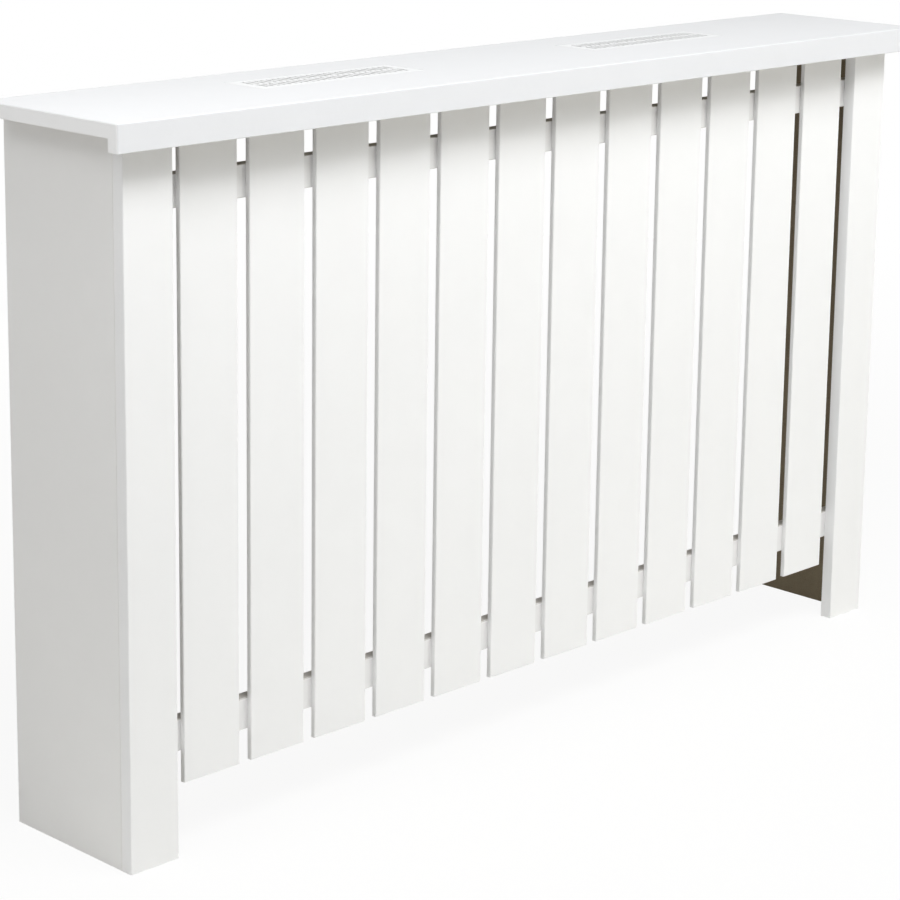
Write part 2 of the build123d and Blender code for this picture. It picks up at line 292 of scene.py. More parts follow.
def build_spray_mist():
    tree, taken, given = new_group(
        "spray mist",
        [("Board size", VECTOR, (1, 1, 1)), ("Reach", FLOAT, 0.006)],
        [("Painted", FLOAT)],
    )
    coords = add(tree, "ShaderNodeTexCoord", (-1400, -300))
    place = split(tree, coords.outputs["Generated"], (-1200, -200))
    facing = split(tree, coords.outputs["Normal"], (-1200, -400))
    size = split(tree, taken["Board size"], (-1200, 0))
    nearest = None
    for i in range(3):
        down = -260 * i
        offset = sum_of(tree, "SUBTRACT", place[i], 0.5, (-1000, down))
        off_middle = sum_of(tree, "ABSOLUTE", offset, 0, (-850, down))
        to_edge = sum_of(tree, "SUBTRACT", 0.5, off_middle, (-700, down))
        metres = sum_of(tree, "MULTIPLY", to_edge, size[i], (-550, down))
        # A point always lies on the edge of the board along the way it faces. Adding the normal
        # makes that distance large, so the way it faces is left out.
        outward = sum_of(tree, "ABSOLUTE", facing[i], 0, (-700, down - 130))
        far = sum_of(tree, "ADD", metres, outward, (-400, down))
        if nearest is None:
            nearest = far
        else:
            nearest = sum_of(tree, "MINIMUM", nearest, far, (-200, down))
    here = coords.outputs["Object"]
    drift = noise(tree, here, (-550, 250), scale=55.0, detail=3.0, roughness=0.6)
    speck = noise(tree, here, (-550, 420), scale=900.0, detail=1.0)
    wander = sum_of(tree, "MULTIPLY_ADD", drift, drift_gain, (-350, 250), third=drift_start)
    share = sum_of(tree, "DIVIDE", nearest, taken["Reach"], (0, 0))
    loose = sum_of(tree, "SUBTRACT", share, wander, (150, 0))
    specks = sum_of(tree, "SUBTRACT", speck, 0.5, (0, 300))
    frayed = sum_of(tree, "ADD", loose, specks, (300, 0))
    join(tree, remap(tree, frayed, (-0.5, 0.7), (1.0, 0.0), (600, 0)), given["Painted"])
    return tree


spray_mist = build_spray_mist()
print("spray mist:", len(spray_mist.nodes), "nodes")

# %% [markdown]
# The next mask says which faces look away from the gun. A dot product of the normal with one
# direction would do for a back, but the two side panels are bare on opposite faces. For those
# the X of the normal is turned round on the left half, so that one group serves both.

# %% Group: bare side
# How squarely a face has to look one way before it counts as facing that way.
squarely = (0.55, 0.75)


def build_bare_side():
    tree, taken, given = new_group(
        "bare side",
        [("Towards middle", FLOAT, 0.0), ("Towards wall", FLOAT, 0.0), ("Ends", FLOAT, 0.0)],
        [("Bare", FLOAT)],
    )
    coords = add(tree, "ShaderNodeTexCoord", (-1200, -200))
    place = split(tree, coords.outputs["Object"], (-1000, -50))
    facing = split(tree, coords.outputs["Normal"], (-1000, -300))
    half = sum_of(tree, "SIGN", place[0], 0, (-800, 0))
    outward = sum_of(tree, "MULTIPLY", half, facing[0], (-650, 0))
    inward = sum_of(tree, "MULTIPLY", outward, -1.0, (-500, 0))
    upright = sum_of(tree, "ABSOLUTE", facing[2], 0, (-650, -350))
    ways = (
        (inward, "Towards middle", 0),
        (facing[1], "Towards wall", -200),
        (upright, "Ends", -400),
    )
    masks = []
    for value, switch, down in ways:
        faces_there = remap(tree, value, squarely, (0.0, 1.0), (-300, down))
        masks.append(sum_of(tree, "MULTIPLY", faces_there, taken[switch], (-100, down)))
    either = sum_of(tree, "MAXIMUM", masks[0], masks[1], (100, -100))
    join(tree, sum_of(tree, "MAXIMUM", either, masks[2], (300, -200)), given["Bare"])
    return tree


bare_side = build_bare_side()
print("bare side:", len(bare_side.nodes), "nodes")

# %% [markdown]
# ## Rubbed edges
#
# Paint draws back from a sharp edge while it dries, and hands and dusters polish what is left.
# On a new board that shows as a hairline that is a shade warmer and shinier than the flats. The
# Bevel node finds the edges: it rounds the normal near them, and where the rounded normal parts
# from the true one there is an edge. Where two boards are painted together, as the top and its
# lip, the joint hardly shows, so only the slats get much of it.

# %% Group: rubbed edges
def build_rubbed_edges():
    tree, taken, given = new_group(
        "rubbed edges",
        [("Width", FLOAT, 0.0015), ("Wear", FLOAT, 0.5)],
        [("Edge", FLOAT)],
    )
    rounded = add(tree, "ShaderNodeBevel", (-1100, 100), samples=6)
    join(tree, taken["Width"], rounded.inputs["Radius"])
    shape = add(tree, "ShaderNodeNewGeometry", (-1100, -100))
    dot = add(tree, "ShaderNodeVectorMath", (-850, 0), operation="DOT_PRODUCT")
    join(tree, rounded.outputs[0], dot.inputs[0])
    join(tree, shape.outputs["Normal"], dot.inputs[1])
    parted = sum_of(tree, "SUBTRACT", 1.0, dot.outputs["Value"], (-650, 0))
    edge = remap(tree, parted, (0.01, 0.16), (0.0, 1.0), (-450, 0))
    where = add(tree, "ShaderNodeTexCoord", (-1100, -300)).outputs["Object"]
    touch = noise(tree, where, (-850, -300), scale=38.0, detail=4.0, roughness=0.7)
    patchy = remap(tree, touch, (0.35, 0.65), (0.25, 1.0), (-450, -300))
    worn = sum_of(tree, "MULTIPLY", edge, patchy, (-200, -100))
    join(tree, sum_of(tree, "MULTIPLY", worn, taken["Wear"], (0, -100)), given["Edge"])
    return tree


rubbed_edges = build_rubbed_edges()
print("rubbed edges:", len(rubbed_edges.nodes), "nodes")

# %% [markdown]
# ## Painted boards
#
# The groups meet in one material for each kind of board. They differ in three ways: the board's
# size, which faces are bare, and the tone of white. A real maker buys one white, so the tones
# lie close together. What parts them here is painted shade. The top's white is darker, to hold
# back the strong light on it. The rails' white is greyer, for the shade of the lip above them.
# The side panels' white is warmer, for the warm shade on them. The colours stay below pure
# white, because fresh satin paint throws back about nine tenths of the light, and a pure white
# would leave no room for highlights.

# %% Helpers for materials
paint_white = (0.895, 0.895, 0.897, 1)
# The side panels' white is warmer and a touch darker: painted warm shade.
panel_white_painted_shade = (0.875, 0.87, 0.86, 1)
# The top's white is darker: painted shade that holds back the strong light on the top.
top_white_painted_shade = (0.806, 0.809, 0.814, 1)
# The short ends' white is lighter: painted light.
end_white_painted_light = (0.93, 0.93, 0.93, 1)
# The front edges' white is greyer and cooler: painted shade.
front_white_painted_shade = (0.758, 0.765, 0.786, 1)
# The rails' white is greyer: painted shade from the lip and slats in front of them.
rail_white_painted_shade = (0.83, 0.825, 0.825, 1)
raw_brown = (0.235, 0.198, 0.135, 1)


def group_node(tree, group, place, **values):
    """Places a node group in a material, with values of its own."""
    return add(tree, "ShaderNodeGroup", place, node_tree=group, width=200, **values)


def empty_material(name):
    material = bpy.data.materials.new(name)
    material.use_nodes = True
    tree = material.node_tree
    surface = tree.nodes["Principled BSDF"]
    surface.location = (900, 0)
    tree.nodes["Material Output"].location = (1200, 0)
    return material, tree, surface


def set_bump(tree, height, surface, place, strength, distance):
    """Lets a height roughen the shading. The distance is the height's size in metres."""
    bump = add(tree, "ShaderNodeBump", place, Strength=strength, Distance=distance)
    join(tree, height, bump.inputs["Height"])
    join(tree, bump.outputs["Normal"], surface.inputs["Normal"])


print("whites from", front_white_painted_shade[:3], "to", end_white_painted_light[:3])

# %% [markdown]
# Paint and bare board are two finishes in one material. Where the mask says bare and the mist
# hasn't reached, the colour, the roughness and the height all change over from the one to the
# other. The rubbed edges are laid on the paint first, so they never show on the brown.

# %% The painted board's material
paint_sheen = 0.4
paint_ior = 1.48
worn_tint = (0.93, 0.905, 0.86)
worn_polish = -0.12
film_relief, film_depth = 0.12, 0.0004


def painted_board(name, size, middle=0.0, wall=0.0, ends=0.0, white=paint_white, mist=0.006,
                  wear=0.15):
    """middle, wall and ends say how bare the faces are that look there, from 0 to 1."""
    material, tree, surface = empty_material(name)
    # white is the board's paint, and for the top, rails and side panels it holds painted shade
    # too.
    film = group_node(tree, paint_film, (-300, 300), Colour=white, Sheen=paint_sheen)
    raw = group_node(tree, bare_fibreboard, (-300, 0), Colour=raw_brown)
    away = group_node(
        tree, bare_side, (-700, -200), Towards_middle=middle, Towards_wall=wall, Ends=ends
    )
    sprayed = group_node(tree, spray_mist, (-700, -450), Board_size=size, Reach=mist)
    edge = group_node(tree, rubbed_edges, (-300, 550), Wear=wear).outputs["Edge"]
    dry = sum_of(tree, "SUBTRACT", 1.0, sprayed.outputs["Painted"], (-450, -450))
    bare = sum_of(tree, "MULTIPLY", away.outputs["Bare"], dry, (-250, -300))
    worn_white = (*(part * tint for part, tint in zip(white, worn_tint)), 1)
    painted = blend_colours(tree, edge, film.outputs["Colour"], worn_white, (100, 400))
    colour = blend_colours(tree, bare, painted, raw.outputs["Colour"], (400, 200))
    join(tree, colour, surface.inputs["Base Color"])
    polished = sum_of(
        tree, "MULTIPLY_ADD", edge, worn_polish, (100, 150), third=film.outputs["Roughness"]
    )
    rough = blend(tree, "FLOAT", bare, polished, raw.outputs["Roughness"], (400, -50))
    join(tree, rough, surface.inputs["Roughness"])
    height = blend(
        tree, "FLOAT", bare, film.outputs["Height"], raw.outputs["Height"], (400, -300)
    )
    set_bump(tree, height, surface, (650, -300), film_relief, film_depth)
    surface.inputs["IOR"].default_value = paint_ior
    return material


def size_of(node):
    low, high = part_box(node)
    return tuple(high[i] - low[i] for i in range(3))


def finish_with(material, *names):
    """Puts a material on CAD pieces, in every slot that they have."""
    for name in names:
        for slot in nodes[name].material_slots:
            slot.material = material
    print(material.name, "on", ", ".join(names))


print("a slat measures", [round(side, 4) for side in size_of("slat_01")], "m")

# %% [markdown]
# ## Which faces stay bare
#
# A side panel is bare inside and on the edge at the wall. Its foot is bare too, because boards
# stand on their feet while the paint dries, and no mist creeps in from there: the mist group is
# told that the panel is far taller than it is. A stile and a slat are bare behind. The rails are
# painted in front only: their upper edges show through the gaps as thin brown lines, which is
# one of the small things that make the front read as real boards and not as one moulding.

# %% Finish the boards
side_panels = ("side_panel_left", "side_panel_right")
stiles = ("stile_left", "stile_right")
rails = ("rail_lower", "rail_upper")
slats = tuple(sorted(name for name in nodes if name.startswith("slat_")))

no_mist_height = 10.0
side_size = (*size_of("side_panel_left")[:2], no_mist_height)
stile_size, rail_size = size_of("stile_left"), size_of("rail_lower")

painted_side = painted_board(
    "painted side panel", side_size, middle=1, wall=1, ends=1, white=panel_white_painted_shade
)
finish_with(painted_side, *side_panels)
finish_with(painted_board("painted stile", stile_size, wall=1, ends=1), *stiles)
painted_rail = painted_board(
    "painted rail", rail_size, wall=1, ends=0.5, white=rail_white_painted_shade, mist=0.002
)
finish_with(painted_rail, *rails)
finish_with(painted_board("painted slat", size_of("slat_01"), wall=1, wear=0.5), *slats)
print("slats:", len(slats))

# %% [markdown]
# The top is painted above and on all four edges, and bare below. Its upper and lower faces
# differ only in the sign of Z, which the shared mask can't tell apart, so the top has its own
# small step: the Z of the normal, turned round, drives the bare side.
#
# The short ends of the top and of its lip are lit brighter than the rest, and their long front
# edges look a little greyer. Masks on the X and the Y of the normal paint this into those faces'
# own whites, which go into the film's Colour socket. The ends get a painted highlight and the
# front edges painted shade.

# %% Finish the top
# An eased corner keeps most of the white of the large face, so these masks start later.
past_the_corner = (0.6, 0.9)
top_mist = 0.012


def placed_group(tree, group):
    """The node by which a material holds a group."""
    return next(n for n in tree.nodes if n.type == "GROUP" and n.node_tree == group)


def edge_light_and_shade(material):
    """Paints light on the short ends and shade on the front edge of a board, as whites of their
    own.
    """
    tree = material.node_tree
    film = placed_group(tree, paint_film)
    coords = add(tree, "ShaderNodeTexCoord", (-1400, 500))
    facing = split(tree, coords.outputs["Normal"], (-1200, 500))
    endward = sum_of(tree, "ABSOLUTE", facing[0], 0, (-1000, 500))
    forward = sum_of(tree, "MULTIPLY", facing[1], -1.0, (-1000, 750))
    # Masks for the painted highlight on the short ends and the painted shade on the front edges.
    end_light_mask = remap(tree, endward, past_the_corner, (0.0, 1.0), (-800, 500))
    front_shade_mask = remap(tree, forward, past_the_corner, (0.0, 1.0), (-800, 750))
    long_faces_shaded = blend_colours(tree, front_shade_mask, top_white_painted_shade, front_white_painted_shade, (-600, 750))
    faces_lit_and_shaded = blend_colours(tree, end_light_mask, long_faces_shaded, end_white_painted_light, (-450, 500))
    join(tree, faces_lit_and_shaded, film.inputs["Colour"])
    return material


def painted_top():
    material = painted_board(
        "painted top", size_of("top_panel"), white=top_white_painted_shade, mist=top_mist
    )
    tree = edge_light_and_shade(material).node_tree
    sides = placed_group(tree, bare_side)
    coords = add(tree, "ShaderNodeTexCoord", (-1100, -200))
    facing = split(tree, coords.outputs["Normal"], (-900, -200))
    downward = sum_of(tree, "MULTIPLY", facing[2], -1.0, (-750, -200))
    below = remap(tree, downward, squarely, (0.0, 1.0), (-600, -200))
    for link in list(sides.outputs["Bare"].links):
        join(tree, below, link.to_socket)
    tree.nodes.remove(sides)
    return material


finish_with(painted_top(), "top_panel")
painted_lip = painted_board("painted lip", size_of("front_lip"), wall=1, white=top_white_painted_shade)
finish_with(edge_light_and_shade(painted_lip), "front_lip")

# %% [markdown]
# ## The vent grilles
#
# Two slotted inserts lie flush in the top and let the warm air out. They are moulded in a white
# plastic that is a touch cooler and glossier than the paint. A mould is spark-eroded, which
# leaves an even, very fine frost, so a single noise of half a millimetre is enough, with a
# slower one for the flow of the plastic.

# %% Group: moulded plastic
flow_stretch = (9.0, 60.0, 60.0)


def build_moulded_plastic():
    tree, taken, given = new_group(
        "moulded plastic",
        [("Colour", COLOUR, (0.8, 0.8, 0.8, 1)), ("Frost", FLOAT, 0.35)],
        [("Colour", COLOUR), ("Roughness", FLOAT), ("Height", FLOAT)],
    )
    where = add(tree, "ShaderNodeTexCoord", (-1200, -200)).outputs["Object"]
    frost = noise(tree, where, (-900, 200), scale=1900.0, detail=1.0)
    along = stretched(tree, where, (-1050, -100), flow_stretch)
    flow = noise(tree, along, (-850, -100), scale=1.0, detail=2.0)
    tone = remap(tree, flow, (0.3, 0.7), (0.985, 1.0), (-600, -100))
    join(tree, shade(tree, taken["Colour"], tone, (-400, -100), (-100, 100)), given["Colour"])
    frosted = remap(tree, frost, (0.3, 0.7), (-0.04, 0.04), (-600, 200))
    join(tree, sum_of(tree, "ADD", taken["Frost"], frosted, (-300, 0)), given["Roughness"])
    join(tree, frost, given["Height"])
    return tree


moulded_plastic = build_moulded_plastic()
print("moulded plastic:", len(moulded_plastic.nodes), "nodes")

# %% [markdown]
# The plastic and the metals that follow are dressed in the same way: a group hands over its
# colour, roughness and height, and the material only adds the bump and what is the same all
# over, such as how strongly the surface bends light.

# %% Finish the vents
vent_white = (0.87, 0.873, 0.873, 1)
plastic_ior = 1.5
skin_depth = 0.0002


def dress(tree, skin, surface, relief):
    """Joins what a group gives to the surface."""
    join(tree, skin.outputs["Colour"], surface.inputs["Base Color"])
    join(tree, skin.outputs["Roughness"], surface.inputs["Roughness"])
    set_bump(tree, skin.outputs["Height"], surface, (500, -250), relief, skin_depth)


def vent_plastic():
    material, tree, surface = empty_material("vent plastic")
    skin = group_node(tree, moulded_plastic, (0, 100), Colour=vent_white)
    dress(tree, skin, surface, relief=0.08)
    surface.inputs["IOR"].default_value = plastic_ior
    return material


finish_with(vent_plastic(), "vent_grille_left", "vent_grille_right")

# %% [markdown]
# ## Zinc and steel
#
# The brackets, bolts and staples are steel with a thin bright zinc plate. Such plate has faint
# lines from rolling, and clouds where the bath left it bluer or more yellow. The cams are cast
# zinc: duller, greyer and pitted. One group serves both, with its own values in each material.

# %% Group: zinc skin
rolled_stretch = (2600.0, 90.0, 2600.0)
blue_cloud = (0.93, 0.97, 1.05, 1)
yellow_cloud = (1.05, 1.0, 0.9, 1)


def build_zinc_skin():
    tree, taken, given = new_group(
        "zinc skin",
        [
            ("Colour", COLOUR, (0.6, 0.6, 0.6, 1)),
            ("Roughness", FLOAT, 0.35),
            ("Clouds", FLOAT, 0.5),
            ("Pits", FLOAT, 0.3),
        ],
        [("Colour", COLOUR), ("Roughness", FLOAT), ("Height", FLOAT)],
    )
    where = add(tree, "ShaderNodeTexCoord", (-1300, -200)).outputs["Object"]
    rolled = stretched(tree, where, (-1100, 250), rolled_stretch)
    lines = noise(tree, rolled, (-900, 250), scale=1.0, detail=2.0)
    bath = noise(tree, where, (-900, 0), scale=120.0, detail=3.0, roughness=0.6)
    hue = noise(tree, where, (-900, -250), scale=65.0, detail=2.0)
    pits = noise(tree, where, (-900, -500), scale=1500.0, detail=3.0, roughness=0.7)
    yellowness = remap(tree, hue, (0.35, 0.65), (0.0, 1.0), (-650, -250))
    tint = blend_colours(tree, yellowness, blue_cloud, yellow_cloud, (-400, -250))
    clouded = blend_colours(tree, taken["Clouds"], (1, 1, 1, 1), tint, (-200, -200))
    join(tree, multiply_colours(tree, taken["Colour"], clouded, (100, 200)), given["Colour"])
    dullness = remap(tree, bath, (0.3, 0.7), (-0.12, 0.14), (-650, 0))
    dull = sum_of(tree, "MULTIPLY", dullness, taken["Clouds"], (-400, 0))
    scratch = remap(tree, lines, (0.3, 0.7), (-0.05, 0.05), (-650, 250))
    rough = sum_of(tree, "ADD", taken["Roughness"], dull, (-200, 0))
    join(tree, sum_of(tree, "ADD", rough, scratch, (0, 0)), given["Roughness"])
    pitted = sum_of(tree, "MULTIPLY", pits, taken["Pits"], (-400, -500))
    join(tree, sum_of(tree, "ADD", lines, pitted, (-100, -450)), given["Height"])
    return tree


zinc_skin = build_zinc_skin()
print("zinc skin:", len(zinc_skin.nodes), "nodes")

# %% [markdown]
# Bright plate mirrors the white room and would look like white plastic at its full colour. A
# darker grey with stronger clouds keeps it metal.

# %% Finish the metal pieces
plate_grey = (0.5, 0.51, 0.535, 1)
cast_grey = (0.5, 0.5, 0.52, 1)


def metal(name, colour, roughness, clouds, pits, relief):
    material, tree, surface = empty_material(name)
    skin = group_node(
        tree, zinc_skin, (0, 100), Colour=colour, Roughness=roughness, Clouds=clouds, Pits=pits
    )
    dress(tree, skin, surface, relief)
    surface.inputs["Metallic"].default_value = 1.0
    return material


plated_steel = metal("plated steel", plate_grey, roughness=0.4, clouds=0.9, pits=0.1, relief=0.1)
cast_zinc = metal("cast zinc", cast_grey, roughness=0.48, clouds=0.4, pits=1.0, relief=0.3)
finish_with(plated_steel, "top_brackets", "wall_brackets", "stile_bolts", "rail_staples")
finish_with(cast_zinc, "panel_cams")

# %% [markdown]
# ## Beech dowels
#
# The dowels are turned beech, with straight grain along their length and the short brown flecks
# that mark that wood. They are shut in their holes, but whoever takes the cover apart sees them.

# %% Material: beech
grain_stretch = (1400.0, 45.0, 1400.0)
fleck_stretch = (2600.0, 420.0, 2600.0)
dark_beech = (0.5, 0.33, 0.18, 1)
pale_beech = (0.68, 0.5, 0.31, 1)
fleck_brown = (0.33, 0.18, 0.09, 1)


def beech_dowel():
    material, tree, surface = empty_material("beech dowel")
    where = add(tree, "ShaderNodeTexCoord", (-1000, 0)).outputs["Object"]
    along = stretched(tree, where, (-800, 150), grain_stretch)
    grain = noise(tree, along, (-600, 150), scale=1.0, detail=4.0, roughness=0.6)
    short = stretched(tree, where, (-800, -200), fleck_stretch)
    fleck = add(tree, "ShaderNodeTexVoronoi", (-600, -200), Scale=1.0)
    join(tree, short, fleck.inputs["Vector"])
    flecks = remap(tree, fleck.outputs["Distance"], (0.1, 0.3), (0.5, 0.0), (-350, -200))
    paleness = remap(tree, grain, (0.3, 0.7), (0.0, 1.0), (-350, 150))
    wood = blend_colours(tree, paleness, dark_beech, pale_beech, (-100, 150))
    flecked = blend_colours(tree, flecks, wood, fleck_brown, (200, 100))
    join(tree, flecked, surface.inputs["Base Color"])
    rough = remap(tree, grain, (0.3, 0.7), (0.7, 0.55), (200, -100))
    join(tree, rough, surface.inputs["Roughness"])
    set_bump(tree, grain, surface, (500, -250), strength=0.2, distance=skin_depth)
    return material


finish_with(beech_dowel(), "stile_dowels")

# %% [markdown]
# ## Screws in the brackets
#
# Every bracket hole takes a small round-headed screw. A screw is a shape of revolution, so its
# outline is written once as pairs of radius and height and spun round its axis. The outline
# runs down the dome, in under the head, down the shank and in towards the tip. Lengths are in
# metres.

# %% Spin the outline of a screw
screw_head_radius = 0.0034
screw_head_height = 0.0021
screw_shank_radius = 0.00165
screw_length = 0.0125
screw_tip = 0.0025
steps_round = 28

dome_angles = (84, 70, 54, 36, 18, 0)
underside_share, underside_drop = 0.92, 0.00002
tip_share, tip_rise = 0.55, 0.4

dome = [
    (screw_head_radius * math.cos(math.radians(a)), screw_head_height * math.sin(math.radians(a)))
    for a in dome_angles
]
shank = [
    (screw_head_radius * underside_share, -underside_drop),
    (screw_shank_radius, -underside_drop),
    (screw_shank_radius, -screw_length + screw_tip),
    (screw_shank_radius * tip_share, -screw_length + screw_tip * tip_rise),
]


def on_circle(radius, step, height):
    """A point on a circle round Z, so many steps on."""
    angle = 2 * math.pi * step / steps_round
    return radius * math.cos(angle), radius * math.sin(angle), height


def spun(outline, top, tip):
    """A closed mesh: the outline spun round Z, closed by one point above and one below."""
    mesh = bmesh.new()
    rings = [
        [mesh.verts.new(on_circle(radius, step, height)) for step in range(steps_round)]
        for radius, height in outline
    ]
    for upper, lower in zip(rings, rings[1:]):
        for i in range(steps_round):
            j = (i + 1) % steps_round
            mesh.faces.new((upper[i], lower[i], lower[j], upper[j]))
    for ring, height, turned in ((rings[0], top, 1), (rings[-1], tip, -1)):
        point = mesh.verts.new((0, 0, height))
        for i in range(steps_round):
            mesh.faces.new((ring[i], ring[(i + 1) % steps_round], point)[::turned])
    return mesh


def mesh_data(name, mesh):
    """Turns a bmesh into a mesh with its faces outwards."""
    bmesh.ops.recalc_face_normals(mesh, faces=mesh.faces)
    data = bpy.data.meshes.new(name)
    mesh.to_mesh(data)
    mesh.free()
    return data


def new_object(name, data):
    """A new object in the scene that shows the data."""
    thing = bpy.data.objects.new(name, data)
    bpy.context.scene.collection.objects.link(thing)
    return thing


screw_blank = mesh_data("screw_blank", spun(dome + shank, screw_head_height, -screw_length))
print("screw blank:", len(screw_blank.polygons), "faces")

# %% [markdown]
# The driver's cross is cut with a Boolean, as it is pressed into the real head: a pair of
# crossed wedges, longer and wider at the top than at the bottom. It is cut once, in the mesh
# that all the screws share.

# %% Cut the cross
# Each pair is the wedge's measure at its bottom and at its top.
cross_length = (0.0016, 0.0037)
cross_width = (0.00055, 0.0008)
cross_height = (0.0006, 0.003)


def cross_wedges():
    mesh = bmesh.new()
    for turn in (0, math.pi / 2):
        made = bmesh.ops.create_cube(mesh, size=1.0)["verts"]
        for v in made:
            end = 0 if v.co.z < 0 else 1
            v.co.x *= cross_length[end]
            v.co.y *= cross_width[end]
            v.co.z = cross_height[end]
        about_z = Matrix.Rotation(turn, 3, "Z")
        bmesh.ops.rotate(mesh, verts=made, cent=(0, 0, 0), matrix=about_z)
    return mesh_data("driver_cross", mesh)


def evaluated_mesh(thing):
    """The mesh that an object shows once its modifiers have run."""
    bpy.context.view_layer.update()
    seen = thing.evaluated_get(bpy.context.evaluated_depsgraph_get())
    return bpy.data.meshes.new_from_object(seen)


blank = new_object("screw_blank", screw_blank)
cutter = new_object("driver_cross", cross_wedges())
press = blank.modifiers.new("cross", "BOOLEAN")
press.object = cutter
press.operation = "DIFFERENCE"
press.solver = "EXACT"
# The two wedges of the cutter cross each other, and this setting lets them.
press.use_self = True
crossed = evaluated_mesh(blank)
for thing in (blank, cutter):
    bpy.data.objects.remove(thing)
print("with its cross:", len(crossed.polygons), "faces")

# %% [markdown]
# The thread is no shape of revolution: it climbs as it turns. It is a closed ridge that follows
# a helix, with its back just under the shank's skin, and it comes last, so that the Boolean met
# one plain body. It rises out of the shank over its first steps and sinks back over its last.

# %% Add the thread
thread_pitch = 0.0014
thread_rise = 0.00035
thread_root = 0.00005
thread_runout = 0.002
# Half the ridge's foot, as a share of the pitch, and the steps over which it rises and sinks.
thread_foot = 0.3
thread_fade = 20


def add_thread(mesh):
    """A closed ridge, three-sided across, that climbs round the shank."""
    steps = int((screw_length - screw_tip - thread_runout) / thread_pitch * steps_round)
    rows = []
    for step in range(steps + 1):
        height = -screw_length + screw_tip + thread_pitch * step / steps_round
        rise = thread_rise * min(1.0, step / thread_fade, (steps - step) / thread_fade)
        corners = ((-thread_root, -thread_foot), (rise, 0.0), (-thread_root, thread_foot))
        rows.append([
            mesh.verts.new(on_circle(screw_shank_radius + out, step, height + up * thread_pitch))
            for out, up in corners
        ])
    for low, high in zip(rows, rows[1:]):
        for i in range(3):
            j = (i + 1) % 3
            mesh.faces.new((low[i], high[i], high[j], low[j]))
    for end in (rows[0], rows[-1]):
        mesh.faces.new(end)


threaded = bmesh.new()
threaded.from_mesh(crossed)
add_thread(threaded)
one_screw = mesh_data("bracket_screw", threaded)
print("with its thread:", len(one_screw.polygons), "faces")

# %% [markdown]
# Where the screws go is read from the brackets themselves. Each bracket hole is eight
# millimetres from the end of its leg, so the corners of the CAD pieces are all that is needed.

# %% Places of the screws
hole_margin = 0.008
steel = 0.002
leg = 0.028
half_width = 0.009
low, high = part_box("top_brackets")
wall_low, wall_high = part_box("wall_brackets")
wall_middle = (wall_low[2] + wall_high[2]) / 2

# Each place is a point on the steel, and the way the head looks.
places = []
for side in (-1, 1):
    down, inside = Vector((0, 0, -1)), Vector((-side, 0, 0))
    for y in (low[1] + half_width, high[1] - half_width):
        under_top = Vector((side * (high[0] - leg + hole_margin), y, high[2] - steel))
        on_panel = Vector((side * (high[0] - steel), y, low[2] + hole_margin))
        places += [(under_top, down), (on_panel, inside)]
    at_wall = Vector((side * (wall_high[0] - steel), wall_low[1] + hole_margin, wall_middle))
    places.append((at_wall, inside))
print(len(places), "screws")

# %% [markdown]
# Ten loose screws would be ten pieces to carry about, so they are joined into one. Each is
# turned a little further than the last, because no one stops a driver at the same angle twice.

# %% Set the screws
turn_between = 0.7
sharp_angle = math.radians(35)

joined = bmesh.new()
for number, (point, outward) in enumerate(places):
    twist = Matrix.Rotation(turn_between * number, 3, "Z").to_quaternion()
    turn = outward.to_track_quat("Z", "Y") @ twist
    copy = one_screw.copy()
    copy.transform(Matrix.LocRotScale(point, turn, None))
    joined.from_mesh(copy)
    bpy.data.meshes.remove(copy)
screw_data = mesh_data("bracket_screws", joined)
for face in screw_data.polygons:
    face.use_smooth = True
screw_data.set_sharp_from_angle(angle=sharp_angle)
screw_data.materials.append(plated_steel)
bracket_screws = new_object("bracket_screws", screw_data)
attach(bracket_screws, "root")
print("screws joined:", len(screw_data.polygons), "faces")

# %% [markdown]
# ## Floor and room
#
# The photograph shows the cover cut out on pure white. A floor lit so brightly would bleach the
# cover as well, so the white comes from somewhere else: rays that start at the camera see a
# floor that glows, and all other rays see a plain pale one. Far off the floor is all glow and
# white. Near the cover some of its true surface is left, and there the shadow shows.
#
# The floor is a shade warm. It lights the cover from below, so the shadows under the top turn
# warm too, as they are in the photograph.

# %% Floor
floor_colour = (0.875, 0.867, 0.83, 1)
floor_reach = 30.0
near_glow, far_glow = 0.92, 1.0
near_metres, far_metres = 1.0, 3.2


def pale_floor():
    material, tree, surface = empty_material("pale floor")
    surface.inputs["Base Color"].default_value = floor_colour
    surface.inputs["Roughness"].default_value = 0.9
    surface.inputs["Specular IOR Level"].default_value = 0.0
    glow = add(tree, "ShaderNodeEmission", (900, 250), Color=(1, 1, 1, 1), Strength=1.0)
    path = add(tree, "ShaderNodeLightPath", (500, 500)).outputs
    seen = sum_of(tree, "MAXIMUM", path["Is Camera Ray"], path["Is Glossy Ray"], (700, 500))
    where = add(tree, "ShaderNodeTexCoord", (-300, 700))
    away = add(tree, "ShaderNodeVectorMath", (-100, 700), operation="LENGTH")
    join(tree, where.outputs["Object"], away.inputs[0])
    glow_share = remap(
        tree, away.outputs["Value"], (near_metres, far_metres), (near_glow, far_glow), (200, 700)
    )
    share = sum_of(tree, "MULTIPLY", seen, glow_share, (900, 500))
    mixed = add(tree, "ShaderNodeMixShader", (1150, 200))
    join(tree, share, mixed.inputs[0])
    join(tree, surface.outputs[0], mixed.inputs[1])
    join(tree, glow.outputs[0], mixed.inputs[2])
    output = tree.nodes["Material Output"]
    join(tree, mixed.outputs[0], output.inputs["Surface"])
    output.location = (1400, 200)
    return material


floor_data = bpy.data.meshes.new("floor")
corners = [(x * floor_reach, y * floor_reach, 0) for x, y in ((-1, -1), (1, -1), (1, 1), (-1, 1))]
floor_data.from_pydata(corners, [], [(0, 1, 2, 3)])
floor_data.materials.append(pale_floor())
floor = new_object("floor", floor_data)
print("floor", 2 * floor_reach, "m wide, glow", near_glow, "to", far_glow)

